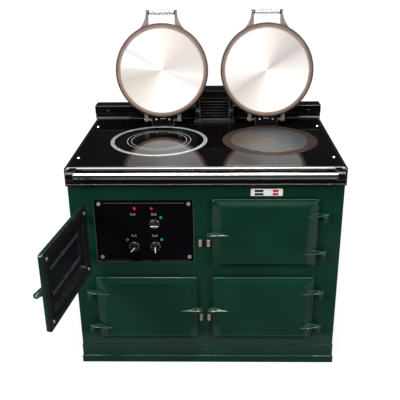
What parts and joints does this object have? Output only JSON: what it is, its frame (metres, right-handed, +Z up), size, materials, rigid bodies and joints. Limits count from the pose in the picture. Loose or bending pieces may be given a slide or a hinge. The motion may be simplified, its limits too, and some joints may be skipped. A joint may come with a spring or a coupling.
{
  "type": "cast iron range cooker",
  "caption": "Free-standing cast iron range cooker with green enamelled doors, black top plate, round hobs under hinged insulated lids, rear vent and front handrail.",
  "frame": {"origin": "on the floor under the middle of the body, at the underside of the base plate", "axes": "+Z up, -Y towards the front where the doors are, +X to the right as seen from the front"},
  "size_m": [1.0138, 1.1317, 1.305],
  "materials": {
    "green_enamel": "deep green vitreous enamel, glossy",
    "black_enamel": "black vitreous enamel, glossy",
    "cast_iron": "bare cast iron, grey-brown",
    "hotplate_iron": "machined iron, blue-grey face and rusty rim",
    "liner_iron": "black semi-gloss enamel on iron",
    "polished_liner": "polished with a radial sheen",
    "chrome": "polished chrome",
    "nickel": "nickel plate",
    "steel": "plain steel",
    "hob_glass": "black ceramic glass with printed rings",
    "panel_black": "gloss black",
    "black_plastic": "matt black",
    "red_lens": "clear red lens",
    "green_lens": "clear green lens",
    "indicator": "white enamel slip with black and red bars",
    "mineral_wool": "mineral wool"
  },
  "bodies": {
    "root": {"base_plate": "cast_iron", "plinth": "green_enamel", "front_plate": "green_enamel", "side_panel_left": "green_enamel", "side_panel_right": "green_enamel", "back_panel": "black_enamel", "top_plate": "black_enamel", "front_band": "black_enamel", "rear_upstand": "black_enamel", "flue_box": "black_enamel", "vent_grille": "black_enamel", "plate_nuts": "chrome", "handrail": "chrome", "rail_bracket_left": "black_enamel", "rail_bracket_right": "black_enamel", "glass_hob": "hob_glass", "hob_trim_ring": "steel", "cast_hotplate": "hotplate_iron", "heating_elements": "steel", "lid_hinge_blocks": "black_enamel", "lid_hinge_pins": "chrome", "door_hinge_brackets": "green_enamel", "door_hinge_pins": "steel", "door_catches": "nickel", "control_panel": "panel_black", "panel_frame": "steel", "panel_screws": "nickel", "red_neons": "red_lens", "green_neons": "green_lens", "regulators": "steel", "heat_indicator": "indicator", "roasting_oven": "cast_iron", "simmering_oven": "cast_iron", "warming_oven": "cast_iron", "oven_shelves": "steel", "insulation": "mineral_wool", "terminal_box": "steel", "cable_gland": "black_plastic"},
    "lid_left": {"lid_frame_left": "cast_iron", "lid_dome_left": "chrome", "lid_liner_left": "polished_liner", "lid_grip_rod_left": "steel", "lid_coil_left": "chrome"},
    "lid_right": {"lid_frame_right": "cast_iron", "lid_dome_right": "chrome", "lid_liner_right": "polished_liner", "lid_grip_rod_right": "steel", "lid_coil_right": "chrome"},
    "upper_left_door": {"door_upper_left": "green_enamel", "door_liner_upper_left": "liner_iron", "door_liner_screws": "nickel"},
    "lower_left_door": {"door_lower_left": "green_enamel", "door_liner_lower_left": "liner_iron"},
    "upper_right_door": {"door_upper_right": "green_enamel", "door_liner_upper_right": "liner_iron"},
    "lower_right_door": {"door_lower_right": "green_enamel", "door_liner_lower_right": "liner_iron"},
    "hotplate_knob": {"knob_hotplate": "panel_black"},
    "oven_knob": {"knob_oven": "panel_black"},
    "hob_knob": {"knob_hob": "panel_black"}
  },
  "joints": [
    {"name": "lid_left_hinge", "type": "hinge", "parent": "root", "child": "lid_left", "pos_m": [-0.186, 0.148, 0.866], "axis": [1, 0, 0], "range_deg": [0, 102]},
    {"name": "lid_right_hinge", "type": "hinge", "parent": "root", "child": "lid_right", "pos_m": [0.247, 0.148, 0.866], "axis": [1, 0, 0], "range_deg": [0, 102]},
    {"name": "upper_left_door_hinge", "type": "hinge", "parent": "root", "child": "upper_left_door", "pos_m": [-0.441, -0.357, 0.57625], "axis": [0, 0, 1], "range_deg": [-52, 98]},
    {"name": "lower_left_door_hinge", "type": "hinge", "parent": "root", "child": "lower_left_door", "pos_m": [-0.441, -0.357, 0.25675], "axis": [0, 0, 1], "range_deg": [-150, 0]},
    {"name": "upper_right_door_hinge", "type": "hinge", "parent": "root", "child": "upper_right_door", "pos_m": [0.429, -0.357, 0.57625], "axis": [0, 0, 1], "range_deg": [0, 150]},
    {"name": "lower_right_door_hinge", "type": "hinge", "parent": "root", "child": "lower_right_door", "pos_m": [0.429, -0.357, 0.25675], "axis": [0, 0, 1], "range_deg": [0, 150]},
    {"name": "hotplate_knob_turn", "type": "hinge", "parent": "root", "child": "hotplate_knob", "pos_m": [-0.1885, -0.321, 0.60325], "axis": [0, 1, 0], "range_deg": [-90, 180]},
    {"name": "oven_knob_turn", "type": "hinge", "parent": "root", "child": "oven_knob", "pos_m": [-0.2675, -0.321, 0.51125], "axis": [0, 1, 0], "range_deg": [-48, 222]},
    {"name": "hob_knob_turn", "type": "hinge", "parent": "root", "child": "hob_knob", "pos_m": [-0.1875, -0.321, 0.51125], "axis": [0, 1, 0], "range_deg": [0, 270]}
  ]
}
